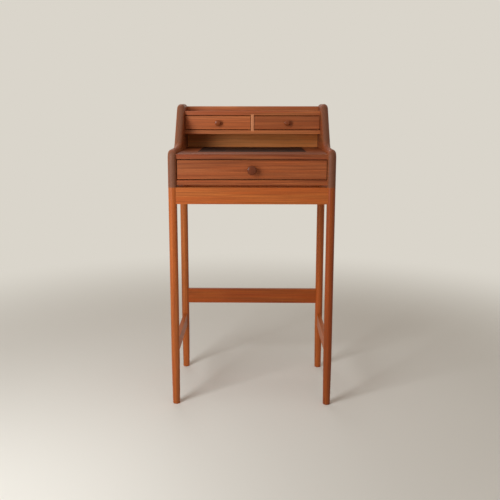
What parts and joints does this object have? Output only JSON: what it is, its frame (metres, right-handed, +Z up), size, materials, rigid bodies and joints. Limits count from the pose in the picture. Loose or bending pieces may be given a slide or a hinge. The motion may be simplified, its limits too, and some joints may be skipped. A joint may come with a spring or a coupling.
{
  "type": "secretary desk",
  "caption": "Narrow standing secretary desk: tall round-legged frame, low carcass with a wide drawer, leather writing inlay, and a hutch with letter slot and small drawers.",
  "frame": {"origin": "on the floor, below the middle of the desk's bounding box", "axes": "+X to the desk's right, +Y towards its back, +Z up; the drawers open towards -Y"},
  "size_m": [0.6, 0.469, 1.118],
  "materials": {
    "frame_teak": "oiled orange-brown teak of the leg frame",
    "panel_teak": "oiled dark teak of the side panels",
    "board_teak": "oiled red-brown teak",
    "front_teak": "oiled red-brown teak, fine horizontal grain",
    "light_teak": "pale worn edge of the upright",
    "drawer_wood": "waxed beech",
    "plywood": "thin veneered plywood",
    "knob_wood": "polished dark rosewood-coloured turning",
    "leather": "smooth dark brown leather",
    "steel": "plain screw steel"
  },
  "bodies": {
    "desk": {"leg_front_left": "frame_teak", "leg_front_right": "frame_teak", "leg_rear_left": "frame_teak", "leg_rear_right": "frame_teak", "apron_front": "frame_teak", "apron_rear": "frame_teak", "apron_left": "frame_teak", "apron_right": "frame_teak", "stretcher_left": "frame_teak", "stretcher_right": "frame_teak", "stretcher_rear": "frame_teak", "leg_dowels": "drawer_wood", "panel_screws": "steel", "side_panel_left": "panel_teak", "side_panel_right": "panel_teak", "writing_board": "board_teak", "leather_inlay": "leather", "carcass_bottom": "board_teak", "carcass_back": "plywood", "hutch_back": "plywood", "back_screws": "steel", "runner_left": "drawer_wood", "runner_right": "drawer_wood", "runner_screws": "steel", "drawer_stops": "drawer_wood", "hutch_shelf": "board_teak", "hutch_divider": "light_teak", "hutch_top": "board_teak", "gallery_rail": "board_teak"},
    "wide_drawer": {"wide_drawer_front": "front_teak", "wide_drawer_side_left": "drawer_wood", "wide_drawer_side_right": "drawer_wood", "wide_drawer_back": "drawer_wood", "wide_drawer_bottom": "plywood", "wide_drawer_knob": "knob_wood", "wide_knob_screw": "steel"},
    "left_drawer": {"left_drawer_front": "front_teak", "left_drawer_side_left": "drawer_wood", "left_drawer_side_right": "drawer_wood", "left_drawer_back": "drawer_wood", "left_drawer_bottom": "plywood", "left_drawer_knob": "knob_wood", "left_knob_screw": "steel"},
    "right_drawer": {"right_drawer_front": "front_teak", "right_drawer_side_left": "drawer_wood", "right_drawer_side_right": "drawer_wood", "right_drawer_back": "drawer_wood", "right_drawer_bottom": "plywood", "right_drawer_knob": "knob_wood", "right_knob_screw": "steel"}
  },
  "joints": [
    {"name": "wide_drawer_slide", "type": "slide", "parent": "desk", "child": "wide_drawer", "axis": [0, -1, 0], "range_m": [0, 0.28]},
    {"name": "left_drawer_slide", "type": "slide", "parent": "desk", "child": "left_drawer", "axis": [0, -1, 0], "range_m": [0, 0.075]},
    {"name": "right_drawer_slide", "type": "slide", "parent": "desk", "child": "right_drawer", "axis": [0, -1, 0], "range_m": [0, 0.075]}
  ]
}
